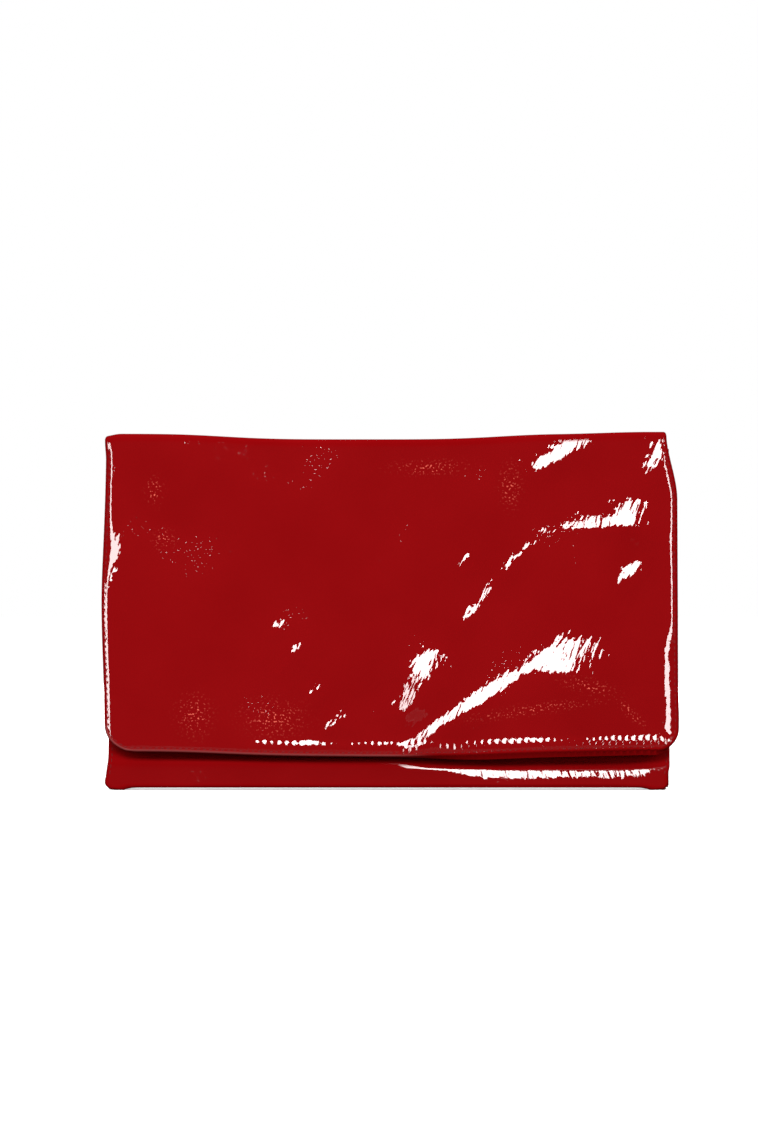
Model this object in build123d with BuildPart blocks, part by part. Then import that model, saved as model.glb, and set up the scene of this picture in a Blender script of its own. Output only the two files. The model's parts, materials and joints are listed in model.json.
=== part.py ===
"""Patent-leather clutch purse with a full front flap and a hidden magnetic snap.

Frame: +X to the right when the flap is seen from the front, +Y to the back, +Z up.
The origin is on the table, under the centre of the overall box. Millimetres.

The purse stands on its base with its flap closed. Its back panel is upright. Its front panel leans back,
so the body narrows towards the mouth, and a V-folded gusset fills each side. A short spine crosses the top
between two folds, and the flap hangs from the spine's front fold. Depth is measured forward from the back
panel's face.
"""

import math
import os

from build123d import *

os.makedirs("parts", exist_ok=True)

# Driving dimensions
flap_width = 240.0
body_width = 234.0
overall_height = 148.0
base_depth = 24.0
mouth_depth = 13.0
mouth_height = 141.0  # of the front panel's top edge above the table
flap_low = 16.5  # the flap's lower edge above the table
flap_gap_top = 0.9  # between the flap and the front panel's top edge
flap_gap_low = 4.3  # between the flap's lower edge and the front panel
flap_corner = 10.0
flap_shoulder = 28.0  # the flap widens from the body's width to its own over this height

# Materials
leather = 1.2
board = 0.8
facing = 1.0
mouth_facing = 0.8
lining = 0.5
gusset_leather = 0.9
gusset_lining = 0.4

# Clearances and small allowances
seam_gap = 0.3  # between pieces that move past each other
slack = 0.1  # between layers, and round a board in its leather
turned_edge = 2.0  # leather turned over a board's edge
panel_corner = 4.0
board_corner = 2.0
cut_corner = 1.0  # of facings and linings

# Snap
snap_height = 40.0  # of the snap's centre, up the front panel
snap_radius = 9.0
cup_height = 2.6
cup_wall = 0.4
cup_fillet = 0.35
stud_plate = 0.75
stud_radius = 2.0
stud_length = 2.0
snap_hole = 2.6
prong_spacing = 4.0
prong_width = 3.0
prong_thickness = 0.5
prong_tab = 3.5
washer_radius = 8.0
washer_thickness = 0.3
recess_radius = 9.5  # of the hole in a board round the washer

# Worked out from the dimensions above
half_body = body_width / 2
half_flap = flap_width / 2
panel = leather + board
flap_thickness = leather + board + facing
spine_thickness = leather + facing
flap_bead = flap_thickness / 2
spine_bead = spine_thickness / 2
fold_z = overall_height - flap_bead
front_hinge_depth = base_depth - leather / 2
front_hinge_z = leather + seam_gap + leather / 2
front_lean = math.atan((base_depth - mouth_depth) / (mouth_height - front_hinge_z))
front_height = (mouth_height - front_hinge_z) / math.cos(front_lean)
back_fold_depth = spine_bead
front_fold_depth = mouth_depth + flap_gap_top + flap_bead
front_depth_at_flap_low = base_depth - (flap_low - front_hinge_z) * math.tan(front_lean)
flap_lean = math.atan(
    (front_depth_at_flap_low + flap_gap_low + flap_bead - front_fold_depth) / (fold_z - flap_low)
)
flap_length = (fold_z - flap_low) / math.cos(flap_lean)
total_depth = front_depth_at_flap_low + flap_gap_low + flap_thickness / math.cos(flap_lean)
back_y = total_depth / 2


def at_depth(depth):
    """The Y of a depth measured forward from the back panel's face."""
    return back_y - depth


def leaning_plane(depth, z, lean):
    """A plane whose local X is the frame's X and local Y runs up the panel. Its normal faces forward."""
    normal = (0, -math.cos(lean), math.sin(lean))
    return Plane(origin=(0, at_depth(depth), z), x_dir=(1, 0, 0), z_dir=normal)


back = leaning_plane(0, 0, 0)
front = leaning_plane(front_hinge_depth, front_hinge_z, front_lean).offset(leather / 2)
flap = leaning_plane(front_fold_depth, fold_z, flap_lean).offset(flap_bead)
flap_inside = flap.offset(-flap_thickness)
snap_on_flap = flap.to_local_coords(front.from_local_coords(Vector(0, snap_height, 0)))
snap_gap = -snap_on_flap.Z - flap_thickness
snap_on_flap_y = snap_on_flap.Y


def panel_face(plane, half_width, low, high, corner):
    """A panel's outline on a plane, with its lower corners rounded."""
    with BuildSketch(plane) as face:
        with Locations((0, (low + high) / 2)):
            Rectangle(2 * half_width, high - low)
        fillet(face.vertices().group_by(Axis.Y)[0], corner)
    return face.sketch


def flap_face(plane, inset, top):
    """The flap's outline on a plane, drawn in by inset, its top edge at top, with round lower corners."""
    low = inset - flap_length
    with BuildSketch(plane) as face:
        with BuildLine():
            Polyline(
                (half_flap - inset, low),
                (half_flap - inset, -flap_shoulder),
                (half_body - inset, top),
                (inset - half_body, top),
                (inset - half_flap, -flap_shoulder),
                (inset - half_flap, low),
                close=True,
            )
        make_face()
        fillet(face.vertices().group_by(Axis.Y)[0], flap_corner - inset)
    return face.sketch


def prong_slots(plane, y):
    """The two slots that a snap's prongs pass through."""
    with BuildSketch(plane) as slots:
        with Locations((-prong_spacing, y), (prong_spacing, y)):
            Rectangle(prong_thickness + 2 * slack, prong_width + 2 * slack)
    return slots.sketch


def disc(plane, y, radius, hole=0.0):
    """A round outline, or a ring, centred at height y on a plane."""
    with BuildSketch(plane) as ring:
        with Locations((0, y)):
            Circle(radius)
            if hole:
                Circle(hole, mode=Mode.SUBTRACT)
    return ring.sketch


def finish(piece, name):
    """Labels a finished piece and writes it."""
    piece.part.label = name
    export_step(piece.part, f"parts/{name}.step")


# Back: the upright panel, its board, and what lines it

back_top = fold_z - spine_bead - seam_gap

with BuildPart() as back_panel:
    extrude(panel_face(back, half_body, leather, back_top, panel_corner), amount=panel)
    extrude(
        panel_face(
            back.offset(leather),
            half_body - turned_edge,
            leather + turned_edge,
            back_top - turned_edge,
            board_corner,
        ),
        amount=board,
        mode=Mode.SUBTRACT,
    )
finish(back_panel, "back_panel")

board_inset = turned_edge + slack

with BuildPart() as back_board:
    extrude(
        panel_face(
            back.offset(leather),
            half_body - board_inset,
            leather + board_inset,
            back_top - board_inset,
            board_corner,
        ),
        amount=board,
    )
finish(back_board, "back_board")

facing_drop = 25.0  # how far the leather facing reaches below the mouth's edge
facing_half = half_body - 4
facing_low = mouth_height - facing_drop
facing_high = mouth_height + 2
lining_low = panel + lining + 4 * slack
lining_half = half_body - 3

with BuildPart() as back_mouth_facing:
    extrude(
        panel_face(back.offset(panel), facing_half, facing_low, facing_high, cut_corner),
        amount=mouth_facing,
    )
finish(back_mouth_facing, "back_mouth_facing")

with BuildPart() as back_lining:
    extrude(
        panel_face(back.offset(panel + slack), lining_half, lining_low, facing_low - slack, cut_corner),
        amount=lining,
    )
finish(back_lining, "back_lining")

pocket_half = 70.0
pocket_low = 32.0
pocket_high = 104.0
pocket_corner = 6.0
pocket_depth = panel + mouth_facing + slack
binding_height = 8.0

with BuildPart() as slip_pocket:
    extrude(
        panel_face(back.offset(pocket_depth), pocket_half, pocket_low, pocket_high, pocket_corner),
        amount=lining,
    )
finish(slip_pocket, "slip_pocket")

with BuildPart() as pocket_binding:
    with BuildSketch(Plane.YZ):
        with Locations((at_depth(pocket_depth), pocket_high + lining)):
            Rectangle(2 * lining + slack, binding_height, align=(Align.MAX, Align.MAX))
        with Locations((at_depth(pocket_depth), pocket_high + slack)):
            Rectangle(lining + slack, binding_height, align=(Align.MAX, Align.MAX), mode=Mode.SUBTRACT)
    extrude(amount=pocket_half, both=True)
finish(pocket_binding, "pocket_binding")

# Base: the panel that the purse stands on

base_margin = 3.0  # of the board and lining inside the base panel, and the panel's corner radius

with BuildPart() as base_panel:
    with BuildSketch():
        with Locations((0, at_depth(base_depth / 2))):
            RectangleRounded(body_width, base_depth, base_margin)
    extrude(amount=leather)
finish(base_panel, "base_panel")

with BuildPart() as base_board:
    with BuildSketch(Plane.XY.offset(leather)):
        with Locations((0, at_depth(base_depth / 2))):
            RectangleRounded(body_width - 2 * base_margin, base_depth - 2 * base_margin, board_corner)
    extrude(amount=board)
finish(base_board, "base_board")

with BuildPart() as base_lining:
    with BuildSketch(Plane.XY.offset(panel + slack)):
        with Locations((0, at_depth(base_depth / 2))):
            RectangleRounded(body_width - 2 * base_margin, base_depth - 2 * base_margin, board_corner)
    extrude(amount=lining)
finish(base_lining, "base_lining")

# Front: the leaning panel, its board, and what lines it

with BuildPart() as front_panel:
    extrude(panel_face(front, half_body, 0, front_height, cut_corner), amount=-panel)
    with Locations(Location((0, at_depth(front_hinge_depth), front_hinge_z), (0, 90, 0))):
        Cylinder(leather / 2, body_width - 2 * turned_edge)
    extrude(
        panel_face(
            front.offset(-leather),
            half_body - turned_edge,
            turned_edge,
            front_height - turned_edge,
            board_corner,
        ),
        amount=-board,
        mode=Mode.SUBTRACT,
    )
    extrude(prong_slots(front, snap_height), amount=-panel, mode=Mode.SUBTRACT)
finish(front_panel, "front_panel")

with BuildPart() as front_board:
    extrude(
        panel_face(
            front.offset(-leather),
            half_body - board_inset,
            board_inset,
            front_height - board_inset,
            board_corner,
        ),
        amount=-board,
    )
    extrude(disc(front.offset(-leather), snap_height, recess_radius), amount=-board, mode=Mode.SUBTRACT)
finish(front_board, "front_board")

with BuildPart() as front_mouth_facing:
    extrude(
        panel_face(
            front.offset(-panel), facing_half, front_height - facing_drop, front_height, cut_corner
        ),
        amount=-mouth_facing,
    )
finish(front_mouth_facing, "front_mouth_facing")

with BuildPart() as front_lining:
    extrude(
        panel_face(
            front.offset(-panel - slack),
            lining_half,
            lining_low - leather,
            front_height - facing_drop - slack,
            cut_corner,
        ),
        amount=-lining,
    )
finish(front_lining, "front_lining")

# Gussets: each side's V fold, in leather and in lining

gusset_low = panel + lining + 3 * slack
gusset_high = mouth_height - 1
gusset_edge = half_body - 1.5
crease_inset_low = 2.0
crease_inset_high = 18.0
crease_half = 0.3
gusset_total = gusset_leather + slack + gusset_lining
inner_stack = panel + mouth_facing


def gusset_band(z, side, crease_inset, near, far):
    """One layer of a V-folded gusset at height z, between two offsets from the fold's outer face."""
    back_edge = inner_stack + slack
    front_edge = base_depth - (z - front_hinge_z) * math.tan(front_lean) - inner_stack - seam_gap - slack
    middle = (back_edge + front_edge) / 2

    def fold(offset):
        crease = gusset_edge - crease_inset - offset
        return [
            (gusset_edge, back_edge + gusset_total - offset),
            (crease, middle - crease_half - offset),
            (crease, middle + crease_half + offset),
            (gusset_edge, front_edge - gusset_total + offset),
        ]

    outline = fold(near) + fold(far)[::-1]
    with BuildSketch(Plane.XY.offset(z)) as band:
        with BuildLine():
            Polyline(*[(side * x, at_depth(depth)) for x, depth in outline], close=True)
        make_face()
    return band.sketch


def gusset_layer(side, near, far):
    """The two end sections that a gusset layer is lofted between."""
    return [
        gusset_band(gusset_low, side, crease_inset_low, near, far),
        gusset_band(gusset_high, side, crease_inset_high, near, far),
    ]


for side, side_name in ((-1, "left"), (1, "right")):
    with BuildPart() as gusset:
        loft(gusset_layer(side, 0, gusset_leather), ruled=True)
    finish(gusset, f"{side_name}_gusset")

    with BuildPart() as gusset_inner:
        loft(gusset_layer(side, gusset_leather + slack, gusset_total), ruled=True)
    finish(gusset_inner, f"{side_name}_gusset_lining")

# Spine: the strip between the two folds

spine_back_y = at_depth(back_fold_depth)
spine_front_y = at_depth(front_fold_depth) + flap_bead + seam_gap
layer_z = fold_z + spine_bead - leather  # where the cover lies on the facing

with BuildPart() as spine_cover:
    with BuildSketch(Plane.YZ):
        with Locations((spine_back_y, fold_z)):
            Circle(spine_bead)
        with Locations((spine_back_y, layer_z)):
            Rectangle(spine_back_y - spine_front_y, leather, align=(Align.MAX, Align.MIN))
    extrude(amount=half_body, both=True)
finish(spine_cover, "spine_cover")

with BuildPart() as spine_facing:
    with BuildSketch(Plane.YZ):
        with Locations((spine_front_y, layer_z)):
            Rectangle(
                spine_back_y - spine_front_y - spine_bead - slack, facing, align=(Align.MIN, Align.MAX)
            )
    extrude(amount=half_body - turned_edge, both=True)
finish(spine_facing, "spine_facing")

# Flap: leather turned over its board, faced on the underside

flap_pocket_top = -3.0

with BuildPart() as flap_cover:
    extrude(flap_face(flap, 0, 0), amount=-flap_thickness)
    with Locations(Location((0, at_depth(front_fold_depth), fold_z), (0, 90, 0))):
        Cylinder(flap_bead, body_width)
    extrude(
        flap_face(flap.offset(-leather), turned_edge, flap_pocket_top),
        amount=-(board + facing),
        mode=Mode.SUBTRACT,
    )
finish(flap_cover, "flap_cover")

with BuildPart() as flap_board:
    extrude(flap_face(flap.offset(-leather), board_inset, flap_pocket_top - slack), amount=-board)
    extrude(disc(flap.offset(-leather), snap_on_flap_y, recess_radius), amount=-board, mode=Mode.SUBTRACT)
finish(flap_board, "flap_board")

with BuildPart() as flap_facing:
    extrude(flap_face(flap.offset(-panel), board_inset, flap_pocket_top - slack), amount=-facing)
    extrude(prong_slots(flap.offset(-panel), snap_on_flap_y), amount=-facing, mode=Mode.SUBTRACT)
finish(flap_facing, "flap_facing")

# Snap socket, on the front panel

magnet_low = prong_thickness + slack
magnet_high = cup_height - cup_wall - slack

with BuildPart() as snap_socket_cup:
    extrude(disc(front, snap_height, snap_radius, snap_hole), amount=cup_height)
    extrude(
        disc(front, snap_height, snap_radius - cup_wall), amount=cup_height - cup_wall, mode=Mode.SUBTRACT
    )
    circles = snap_socket_cup.edges().filter_by(GeomType.CIRCLE)
    outer = circles.group_by(lambda e: round(e.radius, 3))[-1]
    fillet(outer.sort_by(lambda e: front.to_local_coords(e.center()).Z)[-1], cup_fillet)
finish(snap_socket_cup, "snap_socket_cup")

with BuildPart() as snap_magnet:
    extrude(
        disc(front.offset(magnet_low), snap_height, snap_radius - 2 * cup_wall, snap_hole),
        amount=magnet_high - magnet_low,
    )
finish(snap_magnet, "snap_magnet")


def prongs(plane, y, direction, through):
    """Two prongs that run through a layer from a plane, each bent outward over the washer beyond it."""
    reach = through + washer_thickness
    with BuildSketch(plane) as legs:
        with Locations((-prong_spacing, y), (prong_spacing, y)):
            Rectangle(prong_thickness, prong_width)
    with BuildSketch(plane.offset(direction * reach)) as tabs:
        with Locations((-prong_spacing, y)):
            Rectangle(prong_tab, prong_width, align=(Align.MAX, Align.CENTER))
        with Locations((prong_spacing, y)):
            Rectangle(prong_tab, prong_width, align=(Align.MIN, Align.CENTER))
    tab_thickness = board - washer_thickness - slack
    extrude(legs.sketch, amount=direction * (reach + tab_thickness))
    extrude(tabs.sketch, amount=direction * tab_thickness)


with BuildPart() as snap_socket_base:
    extrude(disc(front, snap_height, snap_radius - cup_wall - slack), amount=prong_thickness)
    prongs(front, snap_height, -1, leather)
finish(snap_socket_base, "snap_socket_base")

with BuildPart() as snap_socket_washer:
    extrude(disc(front.offset(-leather), snap_height, washer_radius, stud_radius), amount=-washer_thickness)
    extrude(prong_slots(front.offset(-leather), snap_height), amount=-washer_thickness, mode=Mode.SUBTRACT)
finish(snap_socket_washer, "snap_socket_washer")

# Snap stud, on the flap's underside

with BuildPart() as snap_stud:
    extrude(disc(flap_inside, snap_on_flap_y, snap_radius), amount=-stud_plate)
    extrude(disc(flap_inside.offset(-stud_plate), snap_on_flap_y, stud_radius), amount=-stud_length)
    circles = snap_stud.edges().filter_by(GeomType.CIRCLE)
    chamfer(circles.sort_by(lambda e: flap.to_local_coords(e.center()).Z)[0], stud_radius / 5)
    prongs(flap_inside, snap_on_flap_y, 1, facing)
finish(snap_stud, "snap_stud")

with BuildPart() as snap_stud_washer:
    extrude(disc(flap.offset(-panel), snap_on_flap_y, washer_radius, stud_radius), amount=washer_thickness)
    extrude(prong_slots(flap.offset(-panel), snap_on_flap_y), amount=washer_thickness, mode=Mode.SUBTRACT)
finish(snap_stud_washer, "snap_stud_washer")

# Threads: each stitch is a separate small solid on the leather

stitch_pitch = 2.5
stitch_length = 1.7
stitch_width = 0.5
stitch_height = 0.25
stitch_inset = 1.6


def stitches(path, normal):
    """Evenly spaced stitches along a line, lying on the surface with that normal."""
    count = int(path.length / stitch_pitch)
    planes = []
    for i in range(count):
        share = (i + 0.5) / count
        planes.append(Plane(origin=path @ share, x_dir=path % share, z_dir=normal))
    with Locations(*planes):
        Box(stitch_length, stitch_width, stitch_height, align=(Align.CENTER, Align.CENTER, Align.MIN))


seam_top = -6.0
seam_half = half_flap - stitch_inset
seam_low = stitch_inset - flap_length
shoulder_half = half_body - stitch_inset

with BuildLine(flap) as flap_seam:
    FilletPolyline(
        (-shoulder_half, seam_top),
        (-seam_half, -flap_shoulder),
        (-seam_half, seam_low),
        (seam_half, seam_low),
        (seam_half, -flap_shoulder),
        (shoulder_half, seam_top),
        radius=flap_corner - stitch_inset,
    )

with BuildPart() as flap_thread:
    stitches(flap_seam.wire(), flap.z_dir)
finish(flap_thread, "flap_thread")

with BuildLine(front) as mouth_seam:
    Line((-shoulder_half, front_height - stitch_inset), (shoulder_half, front_height - stitch_inset))

with BuildPart() as mouth_thread:
    stitches(mouth_seam.wire(), front.z_dir)
finish(mouth_thread, "mouth_thread")

print("total depth", round(total_depth, 2), "snap gap", round(snap_gap, 2))
print("front leans", round(math.degrees(front_lean), 2), "flap leans", round(math.degrees(flap_lean), 2))
print("flap length", round(flap_length, 2))
for fold_name, depth, z in (
    ("back fold", back_fold_depth, fold_z),
    ("front fold", front_fold_depth, fold_z),
    ("front hinge", front_hinge_depth, front_hinge_z),
):
    print(fold_name, "y", round(at_depth(depth), 3), "z", round(z, 3))
print("snap on the front panel", front.from_local_coords(Vector(0, snap_height, 0)))
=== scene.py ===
"""Looks of the patent-leather clutch purse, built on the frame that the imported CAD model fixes.

Every soft layer follows one of two curved surfaces. The wrap runs up the back, over the spine and down the
flap. The front is the leaning front panel. A layer is a closed sheet between two depths under its surface, so
the layers stay stacked however the leather undulates. Script units are millimetres.
"""

import json
import math

import bpy
import numpy as np
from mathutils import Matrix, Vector


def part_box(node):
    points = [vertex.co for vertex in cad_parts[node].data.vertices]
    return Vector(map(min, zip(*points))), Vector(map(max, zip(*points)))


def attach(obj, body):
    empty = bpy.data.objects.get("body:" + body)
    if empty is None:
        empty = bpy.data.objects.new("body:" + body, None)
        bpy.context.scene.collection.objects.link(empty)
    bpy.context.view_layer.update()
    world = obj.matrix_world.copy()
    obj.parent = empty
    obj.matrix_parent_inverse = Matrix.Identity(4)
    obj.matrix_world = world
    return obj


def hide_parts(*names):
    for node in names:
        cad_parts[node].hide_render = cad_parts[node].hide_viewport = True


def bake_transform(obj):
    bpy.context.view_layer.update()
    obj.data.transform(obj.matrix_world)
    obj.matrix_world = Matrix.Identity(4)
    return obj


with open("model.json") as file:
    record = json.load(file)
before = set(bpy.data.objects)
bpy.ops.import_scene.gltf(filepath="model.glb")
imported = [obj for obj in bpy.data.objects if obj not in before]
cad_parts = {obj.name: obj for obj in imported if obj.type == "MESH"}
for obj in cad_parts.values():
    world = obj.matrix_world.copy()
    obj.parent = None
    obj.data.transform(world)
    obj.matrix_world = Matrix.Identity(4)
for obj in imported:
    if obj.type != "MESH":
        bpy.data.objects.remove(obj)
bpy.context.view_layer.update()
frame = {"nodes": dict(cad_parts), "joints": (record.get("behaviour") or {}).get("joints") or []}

MM = 0.001

# Sizes from the frame


def corners(node):
    """A CAD node's lowest and highest corners, in millimetres."""
    low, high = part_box(node)
    return np.array(low) / MM, np.array(high) / MM


def joint_place(name):
    """A joint's place, in millimetres."""
    joint = next(j for j in frame["joints"] if j["name"] == name)
    return np.array(joint["pos_m"]) / MM


half_body, back_y, _ = corners("back_panel")[1]
_, flap_front_y, flap_low_z = corners("flap_cover")[0]
top_z = corners("flap_cover")[1][2]
mouth_z = corners("front_panel")[1][2]
snap_z = np.mean(corners("snap_socket_cup"), axis=0)[2]
front_fold = joint_place("flap_fold")
front_hinge = joint_place("mouth_open")

leather = 1.2
board = 0.8
facing = 1.0
panel = leather + board
flap_thickness = panel + facing
flap_bead = top_z - front_fold[2]
fold_radius = 1.8
rim = 2.1  # width of the leather turned over an edge
flap_seam_in = 1.5  # how far in from its edges each of these is sewn
front_seam_in = 1.6
back_seam_in = 2.0
tuck = 1.0  # how far a lining runs on under the leather facing above it
board_near = leather + 0.02
board_far = panel - 0.02
lining_near = panel + 0.15
lining_far = panel + 0.55
facing_back = 2.2  # from the plane through the front's hinge to the back of its mouth facing
front_lean = math.atan2(
    corners("front_mouth_facing")[1][1] - front_hinge[1] - facing_back, mouth_z - front_hinge[2]
)
flap_lean = math.atan2(front_fold[1] - flap_bead - flap_front_y, front_fold[2] - flap_low_z)


def smooth(t):
    """Rises from 0 to 1 as t does, level at both ends."""
    t = np.clip(t, 0, 1)
    return t * t * (3 - 2 * t)


def bell(t):
    """1 at 0, and fading to 0 on both sides."""
    return np.exp(-t * t)


def circle_drop(distance, radius):
    """How far a rounded edge has fallen away at a distance in from its outline."""
    inside = np.clip(radius - distance, 0, radius)
    return radius - np.sqrt(radius**2 - inside**2)


# How the leather has settled


def top_sag(x):
    """The top edge hangs lower in the middle, and stands highest at the right."""
    return -2.3 * np.exp(-(((x + 12) / 62) ** 4)) + 0.8 * smooth((x - 70) / 38) - 1.0 * smooth((-x - 112) / 7)


def left_edge(z):
    """The flap's left side, which bulges at mid height."""
    return -118.1 - 1.7 * bell((z - 80) / 36) - 0.5 * smooth((z - 138) / 8)


def right_edge(z):
    """The flap's right side, which widens below the spine."""
    return 115 + 4.5 * smooth((top_z - z) / 28) + 0.3 * bell((z - 30) / 8)


def foot_height(x):
    """The lower edge stands off the table a little, but for an ear at each corner."""
    return 1.0 * (1 - bell((np.abs(x) - 113.5) / 4.5))


left_corner = 12.0  # radius of the flap's lower left corner, in the flap's own plane
right_corner = 9.0
edge_radius = 1.3  # of the leather's turned edges, in section
bell_steepness = 0.607  # the steepest slope of a bell with a height and a standard width of 1


class Ridge:
    """A soft fold in the leather, with its steep side's middle at (x, z) and its crest along angle."""

    def __init__(self, x, z, along, across, angle, slope=0.13, lee=2.2):
        """Along and across are half sizes. The other side is lee times as wide as the steep one."""
        self.x = x
        self.z = z
        self.along = along
        self.across = across
        self.angle = math.radians(angle)
        self.slope = slope
        self.lee = lee

    def place(self, x, z):
        """Distances along the crest and across it."""
        dx = x - self.x
        dz = z - self.z
        along = dx * math.cos(self.angle) + dz * math.sin(self.angle)
        return along, dz * math.cos(self.angle) - dx * math.sin(self.angle) + self.across

    def height(self, x, z):
        p, q = self.place(x, z)
        width = np.where(q < 0, self.lee * self.across, self.across)
        crest = self.slope * self.across / bell_steepness
        return crest * np.exp(-0.5 * (p / self.along) ** 2 - 0.5 * (q / width) ** 2)


ridges = (
    Ridge(70, 139.5, 8, 2.1, 31, 0.15),
    Ridge(111, 137, 8, 2.6, 62, 0.17),
    Ridge(85, 110, 8, 1.6, 4, 0.12),
    Ridge(99, 112, 5, 4.6, 40, 0.14),
    Ridge(99, 89.5, 5.5, 2.2, 40, 0.14),
    Ridge(9.5, 46.5, 8, 4.0, 66, 0.20),
    Ridge(6, 38, 4.5, 3.2, 66, 0.14),
    Ridge(13, 24.5, 8, 3.4, 44, 0.20),
    Ridge(36, 38.5, 18, 2.8, 31, 0.17),
    Ridge(72.5, 54, 10, 7.6, 12, 0.155),
    Ridge(60, 103, 7, 1.8, 38, 0.05),
    Ridge(49, 94, 5, 1.6, 50, 0.07),
    Ridge(30, 95, 5, 2.0, 55, 0.06),
    Ridge(39, 82, 7, 1.8, 58, 0.085),
    Ridge(32, 74, 5, 1.8, 52, 0.085),
    Ridge(-47.5, 69, 4, 1.5, 45, 0.10),
    Ridge(-41, 58, 5, 1.5, 50, 0.105),
    Ridge(-33, 41, 5, 1.5, 50, 0.11),
    Ridge(-24, 30, 6, 2.4, 40, 0.105),
)

back_ridges = (
    Ridge(62, 104, 22, 4.5, 24, 0.21),
    Ridge(-30, 92, 26, 3.8, 155, 0.20),
    Ridge(-82, 60, 14, 5.0, 20, 0.21),
    Ridge(20, 52, 20, 3.6, 12, 0.19),
    Ridge(88, 38, 12, 3.2, 148, 0.19),
    Ridge(-12, 24, 16, 2.8, 168, 0.18),
    Ridge(-95, 118, 10, 2.6, 30, 0.19),
    Ridge(100, 126, 9, 2.4, 160, 0.19),
)


# Painted glints: orange dots are mixed into the flap's colour in these patches, for light caught on tiny
# creases.
painted_glint_patches = (
    (-81, 31.5, 5, 6, 0),
    (-48, 31.5, 9, 5, 0),
    (50, 127, 3, 6, 0),
    (17, 136, 11, 2, 0),
    (59, 34, 20, 1.4, 6),
    (99.5, 32, 6, 1.2, -43),
    (-98, 124, 2.5, 4, 0),
    (-94, 104, 3, 3, 0),
    (82, 43, 8, 2, -15),
)  # x, z, half length, half width and slant of each patch of painted glints, which stand for light caught on tiny creases


def painted_glint_share(x, z):
    """How thickly the flap is dotted with painted glints, from 0 to 1. The glints stand for light caught on
    tiny creases.
    """
    found = 0 * x
    for middle_x, middle_z, along, across, slant in painted_glint_patches:
        p, q = Ridge(middle_x, middle_z, along, across, slant).place(x, z)
        found = np.maximum(found, bell(p / along) * bell((q - across) / across))
    return found


def creasing(folds, x, z):
    """How crinkled the gloss is, from 0 to 1, most on the steep flanks of the folds."""
    found = 0 * x
    for ridge in folds:
        p, q = ridge.place(x, z)
        flank = bell((q - ridge.across) / (2.2 * ridge.across + 2))
        found = np.maximum(found, bell(p / (1.7 * ridge.along)) * flank)
    return found


def flap_swell(x, z, low):
    """How far the flap stands out from its plane, where low is the height above its lower edge."""
    swell = 0.35 * bell((z - 26) / 48) * bell((x + 15) / 110)
    swell = swell + 0.16 * np.sin(x / 17 + z / 29) * smooth(low / 30) * smooth((top_z - z) / 45)
    for ridge in ridges:
        swell = swell + ridge.height(x, z)
    keep_snap = 1 - bell(np.hypot(x, z - snap_z) / 7.5)
    from_left = np.maximum(x - left_edge(z), 0)
    from_right = np.maximum(right_edge(z) - x, 0)
    slack = smooth((70 - z) / 14)
    gather = 0.4 * np.sin(2 * math.pi * z / 3.0 + np.sin(z / 7))
    roll_width = 4.5 + 5 * slack
    roll = (0.9 + 0.9 * slack) * smooth((z - 18) / 8) * np.maximum(1 - from_right / roll_width, 0) ** 2
    roll = roll * (1 + 0.7 * gather * (1 - 0.8 * slack))
    roll = roll + (0.52 + 0.25 * smooth((z - 85) / 12)) * (1 + gather) * np.maximum(1 - from_left / 4, 0) ** 2
    roll = roll + 1.3 * (1 - smooth(from_left / 11)) * bell((z - 102) / 13)
    return (swell * keep_snap - roll) * smooth((top_z - z) / 7)


def back_swell(x, z):
    """How far the back stands out from its plane."""
    swell = 0.3 * np.sin(x / 31 + 1) * np.sin(z / 23)
    for ridge in back_ridges:
        swell = swell + 0.8 * ridge.height(x, z)
    return swell * smooth(z / 14) * smooth((top_z - z) / 14) * smooth((half_body - np.abs(x)) / 8)


def hem_relief(x, low, side):
    """The stitched hem: a shallow step where the turned leather ends, a seam groove and its puckers."""
    firm = 0.6 + 0.32 * bell((x + 28) / 12) + 0.28 * smooth((x - 5) / 15)
    pucker = 1 + 0.55 * (1 - 0.6 * bell((x + 29) / 9)) * np.sin(2 * math.pi * x / 2.9 + 2 * np.sin(x / 13))
    step = 0.33 * firm * pucker * smooth((x + 66) / 14) * (1 - smooth((low - 3.6) / 3.6))
    groove = (0.06 + 0.08 * smooth((8 - low) / 6)) * bell((np.minimum(low, side) - flap_seam_in) / 0.5)
    return step - groove


# The two surfaces


def bend(s, corner, arrive, leave, radius):
    """A path with one rounded corner, s measured from it: its points and outward normals in (y, z)."""
    arrive = np.array(arrive)
    leave = np.array(leave)
    turn = math.acos(float(arrive @ leave))
    reach = radius * math.tan(turn / 2)
    share = np.clip((s + reach) / (2 * reach), 0, 1)[..., None]
    spin = share * turn
    way = (arrive * np.sin(turn - spin) + leave * np.sin(spin)) / math.sin(turn)
    normal = np.stack([way[..., 1], -way[..., 0]], -1)
    centre = np.array(corner) - arrive * reach - np.array([arrive[1], -arrive[0]]) * radius
    on_arc = centre + normal * radius
    before = np.minimum(s + reach, 0)[..., None] * arrive
    after = np.maximum(s - reach, 0)[..., None] * leave
    return on_arc + before + after, normal


flap_way = (-math.sin(flap_lean), -math.cos(flap_lean))
plane_y = front_fold[1] - flap_bead * math.cos(flap_lean)
plane_z = front_fold[2] + flap_bead * math.sin(flap_lean)
front_corner = (plane_y + (top_z - plane_z) * math.tan(flap_lean), top_z)
back_corner = (back_y, top_z)
half_spine = (back_corner[0] - front_corner[0]) / 2
flap_run = half_spine + (top_z - flap_low_z) / math.cos(flap_lean)
back_run = half_spine + top_z


def flap_path(s):
    """The wrap's path over the front fold and down the flap."""
    return bend(s - half_spine, front_corner, (-1.0, 0.0), flap_way, fold_radius)


def back_path(s):
    """The wrap's path up the back and over the back fold."""
    return bend(s + half_spine, back_corner, (0.0, 1.0), (-1.0, 0.0), fold_radius)


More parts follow.
